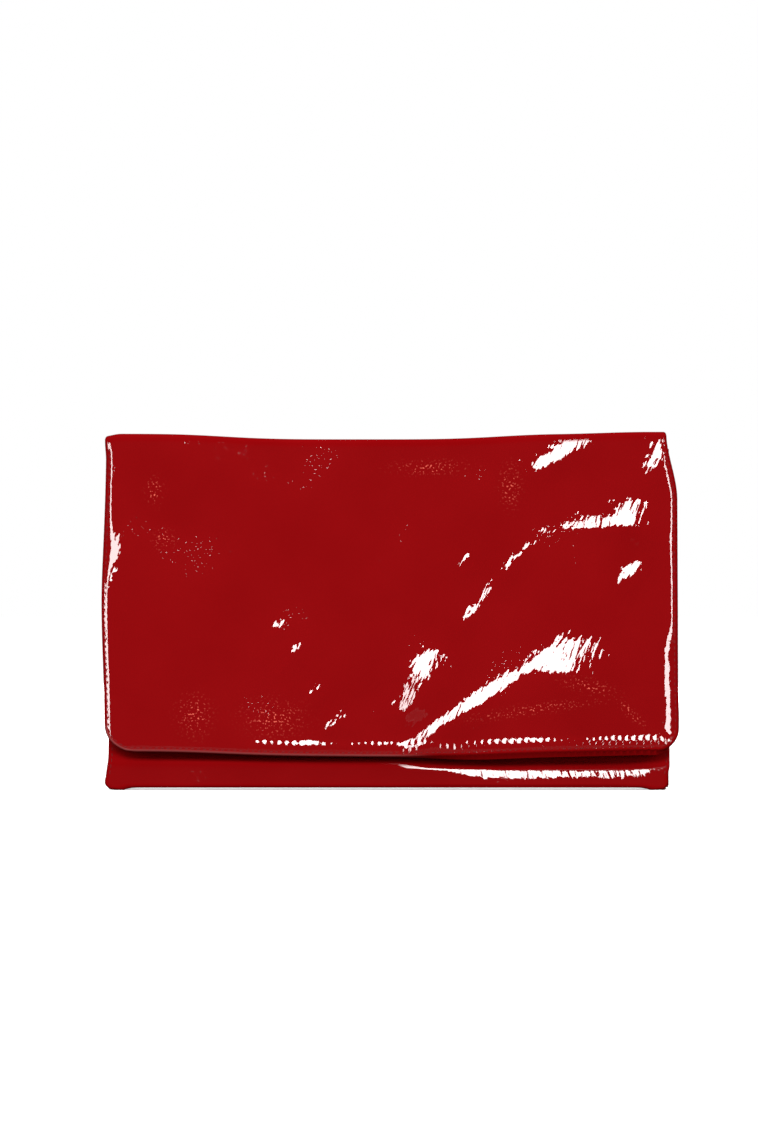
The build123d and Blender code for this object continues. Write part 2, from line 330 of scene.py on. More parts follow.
def wrap(x, s, depth):
    """The wrap: s runs from the middle of the spine, down the flap and, below 0, down the back."""
    ahead, ahead_normal = flap_path(s)
    behind, behind_normal = back_path(s)
    forward = (s > 0)[..., None]
    place = np.where(forward, ahead, behind)
    normal = np.where(forward, ahead_normal, behind_normal)
    z = place[..., 1]
    low = flap_run - s
    on_flap = s > half_spine
    side = np.minimum(x - left_edge(z), right_edge(z) - x)
    relief = np.where(on_flap, flap_swell(x, z, low) + hem_relief(x, low, side), 0)
    relief = np.where(s < -half_spine, back_swell(x, z), relief)
    share = np.where(on_flap, 0.55 + 0.45 * smooth(z / top_z), smooth(z / top_z))
    drop = np.where(on_flap, -1.0 * bell((x - 5) / 80) * (1 - smooth(low / 30)), 0)
    place = place + normal * (relief - depth)[..., None]
    return np.stack([x, place[..., 0], place[..., 1] + top_sag(x) * share + drop], -1)


front_up = np.array([0, math.sin(front_lean), math.cos(front_lean)])
front_out = np.array([0, -math.cos(front_lean), math.sin(front_lean)])
front_run = (mouth_z - front_hinge[2]) / math.cos(front_lean)


def front_relief(x, h):
    """The front rolls back above its foot, most at the right, and is hollow under the flap's edge."""
    right = smooth((x + 5) / 60)
    roll = right * 0.0165 * np.clip(h + 0.6, 0, 8) ** 2
    hollow = right * 4.6 * smooth((h - 6.6) / 4.4) + (1 - right) * 4.4 * smooth((h - 9) / 4.4)
    depth = (roll + hollow) * (1 - smooth((h - 18) / 15))
    corner = 0.6 * (1 - smooth((half_body - 1 - x) / 9)) + 0.4 * (1 - smooth((half_body + x) / 7))
    depth = depth * (1 - 0.7 * smooth((np.abs(x) - 94) / 23)) + corner * (1 - smooth((h - 16) / 20))
    wave = 0.1 * np.sin(x / 11 + 0.7) * bell((h - 5) / 6)
    seam = 0.18 * bell((h + 0.4) / 0.35) * smooth(x / 20) * smooth((106 - x) / 20)
    return wave - depth - seam


def front(x, h, depth):
    """The front panel, h measured up it from its hinge."""
    out = leather / 2 + front_relief(x, h) - depth
    point = front_hinge + h[..., None] * front_up + out[..., None] * front_out
    z = point[..., 2] + top_sag(x) * smooth(point[..., 2] / top_z)
    return np.stack([x, point[..., 1], z], -1)


# Meshes


def spread(steps, fine=0.0):
    """Shares from 0 to 1, drawn towards both ends by fine."""
    t = np.linspace(0, 1, steps + 1)
    return t - fine * np.sin(2 * math.pi * t) / (2 * math.pi)


def runs(*parts):
    """Shares from 0 to 1 over runs of given lengths, each with its own number of steps."""
    stops = [0.0]
    for length, count in parts:
        first = stops[-1]
        stops.extend(first + length * (i + 1) / count for i in range(count))
    return np.array(stops) / stops[-1]


def add_object(name, data):
    made = bpy.data.objects.new(name, data)
    bpy.context.scene.collection.objects.link(made)
    return made


def make(name, points, faces, uv, material):
    """A piece from points in millimetres. Its UV map holds the flat leather's or cloth's own millimetres."""
    mesh = bpy.data.meshes.new(name)
    mesh.from_pydata((np.asarray(points) * MM).tolist(), [], faces)
    uv_map = mesh.uv_layers.new(name="UVMap")
    loop_vertex = np.empty(len(mesh.loops), np.int32)
    mesh.loops.foreach_get("vertex_index", loop_vertex)
    uv_map.data.foreach_set("uv", np.asarray(uv, np.float32)[loop_vertex].ravel() * MM)
    mesh.shade_smooth()
    mesh.set_sharp_from_angle(angle=math.radians(50))
    mesh.materials.append(material)
    mesh.validate()
    return add_object(name, mesh)


def grid_faces(rows, columns, start, flip):
    """Quads over a grid of rows and columns of vertices."""
    first = start + np.arange(rows - 1)[:, None] * columns + np.arange(columns - 1)
    quads = np.stack([first, first + 1, first + columns + 1, first + columns], -1).reshape(-1, 4)
    return quads[:, ::-1] if flip else quads


def rim_loop(rows, columns, start):
    """The border of a grid of vertices, in order."""
    grid = start + np.arange(rows * columns).reshape(rows, columns)
    return np.concatenate([grid[0, :-1], grid[:-1, -1], grid[-1, :0:-1], grid[:0:-1, 0]])


def sheet(name, outer, inner, uv, material):
    """A closed sheet between two grids of points."""
    rows, columns = outer.shape[:2]
    count = rows * columns
    points = np.concatenate([outer.reshape(-1, 3), inner.reshape(-1, 3)])
    i, j = rows // 2, columns // 2
    across = np.cross(outer[i, j + 1] - outer[i, j], outer[i + 1, j] - outer[i, j])
    flip = float(across @ (outer[i, j] - inner[i, j])) < 0
    outer_loop = rim_loop(rows, columns, 0)
    inner_loop = rim_loop(rows, columns, count)
    wall = np.stack([outer_loop, inner_loop, np.roll(inner_loop, -1), np.roll(outer_loop, -1)], -1)
    if flip:
        wall = wall[:, ::-1]
    outside = grid_faces(rows, columns, 0, flip)
    inside = grid_faces(rows, columns, count, not flip)
    faces = np.concatenate([outside, inside, wall])
    flat = uv.reshape(-1, 2)
    return make(name, points, faces.tolist(), np.concatenate([flat, flat]), material)


def paint(piece, name, values, inner_share=1):
    """Keeps a value for each point of a closed sheet's grid, and a share of it on the sheet's inner side."""
    kept = piece.data.attributes.new(name, "FLOAT", "POINT")
    both_sides = np.concatenate([values.ravel(), inner_share * values.ravel()])
    kept.data.foreach_set("value", both_sides.astype(np.float32))


def layer(name, surface, x, s, near, far, material):
    """A sheet between two depths under a surface, each one number or a grid of them."""
    outer = surface(x, s, near + 0 * x)
    inner = surface(x, s, far + 0 * x)
    return sheet(name, outer, inner, np.stack([x, s], -1), material)


# Materials


def shader(name, colour, roughness, **sockets):
    """A new material and its shader, with the values that are the same all over it."""
    material = bpy.data.materials.new(name)
    material.use_nodes = True
    bsdf = material.node_tree.nodes["Principled BSDF"]
    bsdf.inputs["Base Color"].default_value = (*colour, 1)
    bsdf.inputs["Roughness"].default_value = roughness
    for socket, value in sockets.items():
        bsdf.inputs[socket.replace("_", " ")].default_value = value
    return material, bsdf


def node(material, kind, inputs=None, **settings):
    """Adds a node. Its inputs are numbers, or sockets to link."""
    made = material.node_tree.nodes.new(kind)
    for key, value in settings.items():
        setattr(made, key, value)
    for key, value in (inputs or {}).items():
        if isinstance(value, bpy.types.NodeSocket):
            material.node_tree.links.new(value, made.inputs[key])
        else:
            made.inputs[key].default_value = value
    return made


def drive(material, bsdf, **sources):
    """Links values to a shader's inputs."""
    for socket, source in sources.items():
        material.node_tree.links.new(source, bsdf.inputs[socket.replace("_", " ")])


def flat_place(material, turn=0.0, stretch=(1, 1, 1)):
    """Coordinates that lie in the sheet's own flat plane, turned and stretched."""
    uv = node(material, "ShaderNodeUVMap", uv_map="UVMap").outputs[0]
    rotation = (0, 0, math.radians(turn))
    turned = node(material, "ShaderNodeMapping", {"Vector": uv, "Rotation": rotation}).outputs[0]
    return node(material, "ShaderNodeMapping", {"Vector": turned, "Scale": stretch}).outputs[0]


def noise(material, place, scale, detail=3.0, roughness=0.5):
    """Soft random blots, about scale of them to a metre."""
    inputs = {"Vector": place, "Scale": scale, "Detail": detail, "Roughness": roughness}
    return node(material, "ShaderNodeTexNoise", inputs).outputs["Fac"]


def painted(material, name):
    """A value that paint keeps on the piece, or 0 where it keeps none."""
    return node(material, "ShaderNodeAttribute", attribute_name=name).outputs["Fac"]


def map_range(material, value, first, last, low=0.0, high=1.0):
    """A value's range from first to last, moved to low to high and held there."""
    inputs = {"Value": value, "From Min": first, "From Max": last, "To Min": low, "To Max": high}
    return node(material, "ShaderNodeMapRange", inputs).outputs[0]


def tinted(material, share, colour, tint):
    """A colour with a share of another mixed in."""
    inputs = {"Factor": share, 6: colour, 7: (*tint, 1)}
    return node(material, "ShaderNodeMix", inputs, data_type="RGBA").outputs[2]


def stripes(material, place, scale, distortion, **more):
    """Bands side by side, like ribs or the turns of a thread."""
    inputs = {"Vector": place, "Scale": scale, "Distortion": distortion}
    inputs.update({key.replace("_", " "): value for key, value in more.items()})
    return node(material, "ShaderNodeTexWave", inputs, wave_type="BANDS").outputs["Fac"]


def ramp(material, fac, low, high, first=0.35, last=0.65):
    """Blends two colours by a value."""
    made = node(material, "ShaderNodeValToRGB", {"Fac": fac})
    made.color_ramp.elements[0].position = first
    made.color_ramp.elements[1].position = last
    made.color_ramp.elements[0].color = (*low, 1)
    made.color_ramp.elements[1].color = (*high, 1)
    return made.outputs["Color"]


def bump(material, height, distance, strength=1.0, over=None):
    """A normal that follows a height, on top of another bump's normal if there is one."""
    inputs = {"Height": height, "Distance": distance, "Strength": strength}
    if over is not None:
        inputs["Normal"] = over
    return node(material, "ShaderNodeBump", inputs).outputs["Normal"]


def add(material, first, second):
    return node(material, "ShaderNodeMath", {0: first, 1: second}, operation="ADD").outputs[0]


def multiply(material, first, second):
    return node(material, "ShaderNodeMath", {0: first, 1: second}, operation="MULTIPLY").outputs[0]


def patent_colour(material, place):
    """Dark red under the coat, with a painted highlight of paler red along the flap's lower rim, and painted
    orange glints in patches where light would catch tiny creases.
    """
    patches = noise(material, place, 28, 2)
    colour = ramp(material, patches, (0.213, 0.0014, 0.0023), (0.228, 0.0018, 0.0028))
    # Painted highlight: a paler red mixed in along the flap's lower rim, for light caught on its turned edge.
    paler = tinted(material, painted(material, "painted_rim_highlight"), colour, (0.32, 0.06, 0.06))
    # Painted glints: bright orange dots mixed into the colour in the patches painted on the flap.
    glints = map_range(material, noise(material, place, 1100, 1), 0.61, 0.69)
    glinting = multiply(material, painted(material, "painted_glints"), glints)
    return tinted(material, glinting, paler, (0.85, 0.14, 0.1))


def patent_relief(material, place):
    """Long waves, crinkles in strokes, most where the piece is creased, and tiny pits in some zones."""
    waves = noise(material, place, 150, 2)
    zones = map_range(material, noise(material, place, 30, 2), 0.57, 0.78)
    strokes = noise(material, flat_place(material, -20, (1.0, 0.28, 1.0)), 520, 1.5)
    amount = add(material, multiply(material, painted(material, "creased"), 1.7), 0.25)
    amount = add(material, amount, multiply(material, zones, 0.3))
    pits = map_range(material, noise(material, place, 1200, 0.5), 0.7, 0.84)
    normal = bump(material, waves, 0.00012)
    normal = bump(material, multiply(material, strokes, amount), 0.00012, 1.0, normal)
    return bump(material, multiply(material, pits, zones), 0.00006, 1.0, normal)


def patent_leather():
    """Leather under a clear glossy coat, which is worn off where the piece's own worn value is high."""
    coat = {"Coat_Weight": 1.0, "Coat_Roughness": 0.012, "Coat_IOR": 1.58}
    material, bsdf = shader("patent_leather", (0.22, 0.0016, 0.0025), 0.45, Specular_IOR_Level=0.0, **coat)
    place = flat_place(material)
    gloss = map_range(material, painted(material, "worn"), 0.0, 1.0, 1.0, 0.0)
    normal = patent_relief(material, place)
    drive(material, bsdf, Base_Color=patent_colour(material, place), Coat_Weight=gloss)
    drive(material, bsdf, Normal=normal, Coat_Normal=normal)
    return material


def satin_leather():
    """Uncoated leather with a fine pebble grain, for the facings."""
    material, bsdf = shader("facing_leather", (0.13, 0.006, 0.01), 0.5, Specular_IOR_Level=0.35)
    place = flat_place(material)
    colour = ramp(material, noise(material, place, 40, 3), (0.125, 0.005, 0.009), (0.142, 0.0065, 0.011))
    pebbles = node(material, "ShaderNodeTexVoronoi", {"Vector": place, "Scale": 1300}, feature="SMOOTH_F1")
    normal = bump(material, pebbles.outputs["Distance"], 0.00012, 0.6)
    drive(material, bsdf, Base_Color=colour, Normal=normal)
    return material


def twill():
    """Black lining cloth with slanting ribs."""
    sheen = {"Sheen_Weight": 0.25, "Sheen_Roughness": 0.4}
    material, bsdf = shader("lining_cloth", (0.012, 0.011, 0.013), 0.75, **sheen)
    ribs = stripes(material, flat_place(material, 45), 320, 0.6, Detail=2, Detail_Scale=3)
    colour = ramp(material, ribs, (0.006, 0.006, 0.007), (0.022, 0.020, 0.023), 0.2, 0.9)
    threads = noise(material, flat_place(material, 45, (1, 6, 1)), 900, 2)
    normal = bump(material, threads, 0.00006, 0.7, bump(material, ribs, 0.00012, 0.8))
    drive(material, bsdf, Base_Color=colour, Normal=normal)
    return material


def fibre_board():
    material, bsdf = shader("fibre_board", (0.2, 0.12, 0.07), 0.9)
    fibres = noise(material, flat_place(material), 900, 4, 0.7)
    colour = ramp(material, fibres, (0.15, 0.09, 0.05), (0.28, 0.18, 0.11))
    drive(material, bsdf, Base_Color=colour, Normal=bump(material, fibres, 0.0001, 0.5))
    return material


def sewing_thread():
    material, bsdf = shader("thread", (0.17, 0.003, 0.005), 0.5, Specular_IOR_Level=0.2)
    twist = stripes(material, flat_place(material, 35), 900, 0.5)
    colour = ramp(material, twist, (0.12, 0.002, 0.003), (0.21, 0.004, 0.006), 0.2, 0.8)
    drive(material, bsdf, Base_Color=colour, Normal=bump(material, twist, 0.00008, 0.8))
    return material


def metal(name, colour, roughness, grain, stretch, lines):
    """A plated or pressed metal, with fine marks stretched along one direction."""
    material, bsdf = shader(name, colour, roughness, Metallic=1.0)
    place = node(material, "ShaderNodeTexCoord").outputs["Object"]
    stretched = node(material, "ShaderNodeMapping", {"Vector": place, "Scale": stretch}).outputs[0]
    marks = noise(material, stretched, grain, 3, 0.6)
    darker = tuple(0.82 * c for c in colour)
    shade = ramp(material, marks, darker, colour, 0.3, 0.6)
    rough = map_range(material, marks, 0.0, 1.0, roughness, roughness + 0.15)
    drive(material, bsdf, Base_Color=shade, Roughness=rough, Normal=bump(material, marks, lines, 0.5))
    return material


patent = patent_leather()
satin = satin_leather()
cloth = twill()
salpa = fibre_board()
thread = sewing_thread()
nickel = metal("plated_steel", (0.72, 0.70, 0.66), 0.16, 700, (1, 1, 1), 0.00002)
pressed = metal("washer_steel", (0.45, 0.45, 0.46), 0.35, 900, (1, 8, 1), 0.00003)
ferrite = metal("magnet", (0.045, 0.045, 0.05), 0.5, 1500, (1, 1, 1), 0.00005)


# The wrap: flap and back


def flap_grid(u, v, start, inset):
    """x and s over the flap's outline, drawn in by inset, from s = start to its lower edge."""
    u = u[None, :]
    end = flap_run - inset
    s = start + (end - start) * v[:, None] + 0 * u
    z = flap_path(s)[0][..., 1]
    low = flap_run - s
    left = left_edge(z) + inset + circle_drop(low - inset, left_corner - inset)
    right = right_edge(z) - inset - circle_drop(low - inset, right_corner - inset)
    return left + (right - left) * u, s, low, z


def outline_distance(x, low, z):
    """How far a point of the flap lies inside its outline, round the corners too."""
    found = low
    for side, corner in ((x - left_edge(z), left_corner), (right_edge(z) - x, right_corner)):
        in_corner = (side < corner) & (low < corner)
        round_way = corner - np.hypot(corner - side, corner - low)
        found = np.minimum(found, np.where(in_corner, round_way, side))
    return np.maximum(found, 0)


def turned_in(inside):
    """1 where leather is turned in round an edge, and 0 inside the rim."""
    return 1 - smooth((inside - rim + 0.5) / 0.5)


def fold_wear(distance):
    """How worn the gloss is, from 0 to 1, at a distance from a fold of the wrap."""
    return 1 - smooth((np.abs(distance) - 2.2) / 1.6)


def flap_cover():
    """The patent leather from the middle of the spine to the flap's lower edge, turned in round its rim."""
    columns = runs((3, 9), (233, 292), (3, 9))
    rows = runs((10.5, 24), (118, 114), (9, 20))
    x, s, low, z = flap_grid(columns, rows, 0.0, 0.0)
    inside = outline_distance(x, low, z)
    near = circle_drop(inside, edge_radius)
    reach = leather + (flap_thickness - leather) * turned_in(inside)
    over_fold = 1 - smooth((s - half_spine - 2) / 3)
    far = reach * (1 - over_fold) + leather * over_fold
    lip = 1.7 * smooth((x + 5) / 50) * smooth((right_edge(z) - x) / 10) * (1 - smooth(low / 2))
    outer = wrap(x, s, near)
    inner = wrap(x, s + lip, far)
    piece = sheet("flap_leather", outer, inner, np.stack([x, s], -1), patent)
    rim_wear = 1 - smooth((inside - 0.9 + 0.5 * (x < 0)) / 0.6)
    # Painted highlight: a thin paler line along the left part of the flap's lower rim, for light caught on
    # its turned edge.
    rim_highlight = bell((inside - 0.5) / 0.35) * (1 - smooth((low - 8) / 8)) * (1 - smooth(x / 20))
    paint(piece, "creased", creasing(ridges, x, z))
    paint(piece, "worn", np.maximum(fold_wear(s - half_spine), rim_wear))
    paint(piece, "painted_rim_highlight", rim_highlight, 0)
    # Painted glints: the patches where orange dots stand for light caught on tiny creases.
    paint(piece, "painted_glints", painted_glint_share(x, z), 0)
    return piece


def fold_blend(piece):
    """Bakes a piece's placement into its points."""
    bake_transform(piece)


def straight_grid(columns, rows, half, start, end):
    """x from -half to half, and s from start to end, over a strip with straight sides."""
    x = spread(columns, 0.5)[None, :] * 2 * half - half + np.zeros((rows + 1, 1))
    return x, start + (end - start) * spread(rows)[:, None] + 0 * x


def under_wrap(name, start, end, near, far, half, material, steps):
    """A layer on the wrap's underside with straight sides."""
    x, s = straight_grid(*steps, half, start, end)
    return layer(name, wrap, x, s, near, far, material)


flap_leather = flap_cover()
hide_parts("flap_cover", "spine_cover")
fold_blend(flap_leather)


def flap_layer(name, start, inset, near, far, material, columns, rows):
    """A layer under the flap's leather, thinner at the fold and over the spine."""
    x, s = flap_grid(spread(columns, 0.5), spread(rows, 0.5), start, inset)[:2]
    share = 0.55 + 0.45 * smooth((s - half_spine - 1.5) / 3)
    return layer(name, wrap, x, s, near, near + (far - near) * share, material)


flap_board = flap_layer("flap_stiffener", half_spine + 6, rim + 0.3, board_near, board_far, salpa, 90, 50)
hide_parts("flap_board")
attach(flap_board, "flap")

flap_under = flap_layer("flap_underside", 0.0, rim, panel, flap_thickness, satin, 200, 110)
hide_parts("flap_facing")
fold_blend(flap_under)


def back_sides(z):
    """The back's two side edges: the body's own low down, the spine's at the top."""
    level = smooth((z - 40) / (top_z - 40))
    left = -half_body + (left_edge(top_z) + half_body) * level
    right = half_body - 0.6 + (right_edge(top_z) - half_body + 0.6) * level
    return left, right


def back_cover():
    """The patent leather from the base up the back and over to the middle of the spine."""
    u = spread(200, 0.85)[None, :]
    foot = foot_height(half_body * (2 * u - 1)) + 0.05 - back_run
    s = foot - foot * spread(130, 0.5)[:, None]
    z = back_path(s)[0][..., 1]
    left, right = back_sides(z)
    x = left + (right - left) * u
    side = np.minimum(x - left, right - x)
    inside = np.minimum(side, s - foot)
    near = circle_drop(inside, edge_radius) + 0.14 * bell((side - back_seam_in) / 0.5) * smooth((140 - z) / 6)
    reach = leather + board * turned_in(inside) * smooth((top_z - 3 - z) / 3)
    piece = layer("back_leather", wrap, x, s, near, reach, patent)
    paint(piece, "creased", creasing(back_ridges, x, z) * (s < -half_spine))
    paint(piece, "worn", np.maximum(fold_wear(s + half_spine), 1 - smooth((inside - 0.9) / 0.6)))
    return piece


back_leather = back_cover()
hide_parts("back_panel")
fold_blend(back_leather)

facing_low = corners("back_mouth_facing")[0][2]
board_half = corners("back_board")[1][0]
facing_half = corners("back_mouth_facing")[1][0]
lining_half = corners("back_lining")[1][0]
lining_low = corners("back_lining")[0][2]

board_start = 4.4 - back_run
back_board_half = facing_half - 0.3
back_board = under_wrap(
    "back_stiffener", board_start, -half_spine - 6, board_near, board_far, back_board_half, salpa, (60, 40)
)
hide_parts("back_board")
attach(back_board, "body")

back_facing = under_wrap(
    "back_mouth_leather", facing_low - back_run, 0.0, panel, panel + 0.7, facing_half, satin, (120, 50)
)
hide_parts("back_mouth_facing", "spine_facing")
fold_blend(back_facing)

lining_start = lining_low - back_run
lining_end = facing_low + tuck - back_run
back_lining = under_wrap(
    "back_lining_cloth", lining_start, lining_end, lining_near, lining_far, lining_half, cloth, (80, 60)
)
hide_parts("back_lining")
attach(back_lining, "body")

# The slip pocket on the back lining, gaping a little, and its binding

pocket_low, pocket_high = corners("slip_pocket")
pocket_half = pocket_high[0]
pocket_depth = back_y - pocket_high[1]
pocket_corner = 6  # radius of the pocket's lower corners


def pocket_sheet(name, low, high, near, far, half, material, steps):
    """A layer between two heights on the slip pocket, whose mouth stands off the lining in the middle."""
    x, z = straight_grid(*steps, half, low, high)
    rounded = circle_drop(z - pocket_low[2], pocket_corner)
    x = np.sign(x) * np.maximum(np.abs(x) - rounded * (np.abs(x) / half), 0)
    gape = 1.3 * smooth((z - 60) / 50) * (1 - (x / half) ** 2) + 0.15 * np.sin(x / 9) * smooth((z - 40) / 60)
    return layer(name, wrap, x, z - back_run, pocket_depth + near + gape, pocket_depth + far + gape, material)


slip_pocket = pocket_sheet(
    "slip_pocket_cloth", pocket_low[2], pocket_high[2], 0, 0.45, pocket_half, cloth, (80, 50)
)
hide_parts("slip_pocket")
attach(slip_pocket, "body")


binding_low, binding_high = corners("pocket_binding")
binding = pocket_sheet(
    "slip_pocket_binding", binding_low[2], binding_high[2], -0.05, 1.1, pocket_half + 0.2, satin, (100, 8)
)
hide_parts("pocket_binding")
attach(binding, "body")

# The front


def front_sides(h):
    """The front panel's two side edges, a little wider near the base at the left."""
    ear = 0.8 * bell((h - 1) / 2.2)
    toe = circle_drop(h + 2.0, 2.6)
    left = -half_body - 0.9 * bell((h - 4) / 5) - ear + toe
    right = half_body - 0.8 - 1.6 * (1 - smooth(h / 9)) + ear - toe
    return left, right


def front_cover():
    """The front's patent leather, dull where the photograph shows it dark."""
    u = spread(260, 0.85)[None, :]
    t = spread(150, 0.55)[:, None] ** 1.6
    foot = foot_height(half_body * (2 * u - 1)) + 0.05 - front_hinge[2]
    h = foot + (front_run - foot) * t
    left, right = front_sides(h)
    x = left + (right - left) * u
    side = np.minimum(x - left, right - x)
    inside = np.minimum(side, np.minimum(h - foot, front_run - h))
    groove = 0.12 * bell((front_run - h - front_seam_in) / 0.5) + 0.04 * bell((side - front_seam_in) / 0.5)
    near = circle_drop(inside, edge_radius) + groove
    reach = leather + board * turned_in(inside)
    piece = layer("front_leather", front, x, h, near, reach, patent)
    paint(piece, "creased", 0.7 * bell((h - 4.5) / 4) * smooth((x - 5) / 60))
    shaded = (1 - smooth((x + 5) / 40)) * np.minimum(1.5 * bell((h - 9.8) / 2.2), 1)
    shaded = np.maximum(shaded, smooth((np.abs(x) - 104) / 5) * np.minimum(1.5 * bell((h - 12) / 2.8), 1))
    paint(piece, "worn", np.maximum(shaded, 1 - smooth((inside - 1.3) / 0.6)))
    return piece


front_leather = front_cover()
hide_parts("front_panel")
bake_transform(front_leather)


def front_layer(name, node_name, low, high, half, near, far, material, steps):
    """A layer of the front between two heights, with straight sides."""
    u = spread(steps[0], 0.5)[None, :]
    h = low + (high - low) * spread(steps[1], 0.8)[:, None] + 0 * u
    x = -half + 2 * half * u + 0 * h
    piece = layer(name, front, x, h, near, far, material)
    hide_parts(node_name)
    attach(piece, "front")
    return piece


facing_end = front_run - 25  # the lower edge of the front's mouth facing
board_margin = 2.2  # between the front board and the front's hinge or mouth
board_end = front_run - board_margin
front_layer(
    "front_stiffener", "front_board", board_margin, board_end, board_half,
    board_near, board_far, salpa, (60, 50),
)
front_layer(
    "front_mouth_leather", "front_mouth_facing", facing_end, front_run - 0.3, facing_half,
    panel, panel + 0.8, satin, (120, 30),
)
front_lining = front_layer(
    "front_lining_cloth", "front_lining", lining_low - tuck, facing_end + tuck, lining_half,
    lining_near, lining_far, cloth, (80, 60),
)

# The base, arched a little between its four corner ears


def base_point(x, y, depth):
    """The base's underside, where depth is the height above it."""
    return np.stack([x, y, foot_height(x) + depth], -1)


def base_cover():
    u = spread(200, 0.85)[None, :]
    v = spread(40, 0.85)[:, None]
    front_y = front_hinge[1] + 0.5
    rear_y = back_y - 1.0
    y = rear_y + (front_y - rear_y) * v + 0 * u
    corner = circle_drop(np.minimum(y - front_y, rear_y - y), 3)
    left = -half_body - 0.3 + corner
    right = half_body - 2.3 - corner
    x = left + (right - left) * u
    inside = np.minimum(np.minimum(x - left, right - x), np.minimum(y - front_y, rear_y - y))
    rise = circle_drop(inside, 0.8)
    outer = base_point(x, y, rise)
    inner = base_point(x, y, 1.7 - rise)
    return sheet("base_leather", outer, inner, np.stack([x, y], -1), patent)


base_leather = base_cover()
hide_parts("base_panel")
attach(base_leather, "body")


drawn_in = 2.0  # how far the base's layers stop short of their CAD nodes' ends, behind the gussets


def base_layer(name, node_name, material):
    """A flat layer on the base, inside the body."""
    low, high = corners(node_name) + np.array([[drawn_in, 0, 0], [-drawn_in, 0, 0]])
    x = low[0] + (high[0] - low[0]) * spread(60)[None, :]
    y = high[1] + (low[1] - high[1]) * spread(10)[:, None]
    x, y = x + 0 * y, y + 0 * x
    ripple = 0.08 * np.sin(x / 7) * np.sin(y / 5)
    rest = low[2] + 0.9
    bottom = np.stack([x, y, rest + ripple], -1)
    above = np.stack([x, y, rest + (high[2] - low[2]) + ripple], -1)
    piece = sheet(name, bottom, above, np.stack([x, y], -1), material)
    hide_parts(node_name)
    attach(piece, "body")
    return piece


base_layer("base_stiffener", "base_board", salpa)
base_lining = base_layer("base_lining_cloth", "base_lining", cloth)

# Gussets


def gusset_fold(side, t, z):
    """A gusset's V fold in plan, on its outer face: t runs from the back panel to the front one."""
    share = smooth((z - 3) / 150) * 0.5 + 0.5 * np.clip((z - 3) / 137, 0, 1)
    crease = 2.5 + 15.5 * share
    fold = 1 - (np.sqrt((2 * t - 1) ** 2 + 0.012) - 0.11) / 0.896
    wrinkle = 0.35 * np.sin(z / 8 + 9 * t) * fold * smooth(z / 30)
    h = (z - front_hinge[2]) / math.cos(front_lean)
    front_edge = front(side * (half_body - 2) + 0 * z, h, panel + 0.1 + 0 * z)[..., 1]
    back_edge = back_y - panel - 0.1
    return half_body - 1.3 - crease * fold - wrinkle, back_edge + (front_edge - back_edge) * t


def gusset_point(side, t, z, depth):
    """A point at a depth inwards from the gusset's outer face. The gusset thins out towards its seams."""
    x, y = gusset_fold(side, t, z)
    step = 0.004
    x_ahead, y_ahead = gusset_fold(side, t + step, z)
    x_behind, y_behind = gusset_fold(side, t - step, z)
    along_x, along_y = x_ahead - x_behind, y_ahead - y_behind
    size = np.hypot(along_x, along_y)
    skived = depth * (0.15 + 0.85 * smooth((0.5 - np.abs(t - 0.5)) / 0.22))
    x = x + along_y / size * skived
    y = y - along_x / size * skived
    settled = z + top_sag(side * x) * smooth(z / top_z)
    return np.stack([side * x, y, settled], -1)


gusset_low = corners("left_gusset")[0][2]
gusset_high = corners("left_gusset")[1][2]


def gusset_piece(name, node_name, side, low, near, far, material):
    """A layer of a gusset, and its widths at all heights."""
    t = spread(40)[None, :]
    z = low + (gusset_high - low) * spread(90)[:, None] + 0 * t
    t = t + 0 * z
    outer = gusset_point(side, t, z, near)
    inner = gusset_point(side, t, z, far)
    piece = sheet(name, outer, inner, np.stack([t * 24, z], -1), material)
    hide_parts(node_name)
    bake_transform(piece)
    widths = np.linalg.norm(np.diff(outer, axis=1), axis=2).sum(axis=1)
    return piece, widths


for side, gusset in ((-1, "left_gusset"), (1, "right_gusset")):
    gusset_piece(f"{gusset}_leather", gusset, side, gusset_low - 0.9, 0.0, 0.9, patent)
    gusset_lining, widths = gusset_piece(
        f"{gusset}_cloth", f"{gusset}_lining", side, gusset_low, 1.0, 1.4, cloth
    )

# Stitches


def stitch(length, width, height):
    """One stitch about the origin, along X: a short fat thread with rounded ends."""
    rings, sides = 7, 8
    points = []
    for i in range(rings):
        along = -math.cos(math.pi * i / (rings - 1))
        size = math.sqrt(max(1 - along**4, 0.04))
        for j in range(sides):
            turn = 2 * math.pi * j / sides
            y = width / 2 * size * math.cos(turn)
            z = height * size * math.sin(turn)
            points.append((along * length / 2, y, z))
    faces = []
    for i in range(rings - 1):
        for j in range(sides):
            k = (j + 1) % sides
            faces.append((i * sides + j, i * sides + k, (i + 1) * sides + k, (i + 1) * sides + j))
    faces.append(tuple(range(sides))[::-1])
    faces.append(tuple((rings - 1) * sides + j for j in range(sides)))
    return np.array(points), [f[::-1] for f in faces]


def place_on(path, run, distance):
    """The place at a distance along a path, where run has its points' own distances."""
    return np.array([np.interp(distance, run, path[:, k]) for k in range(3)])


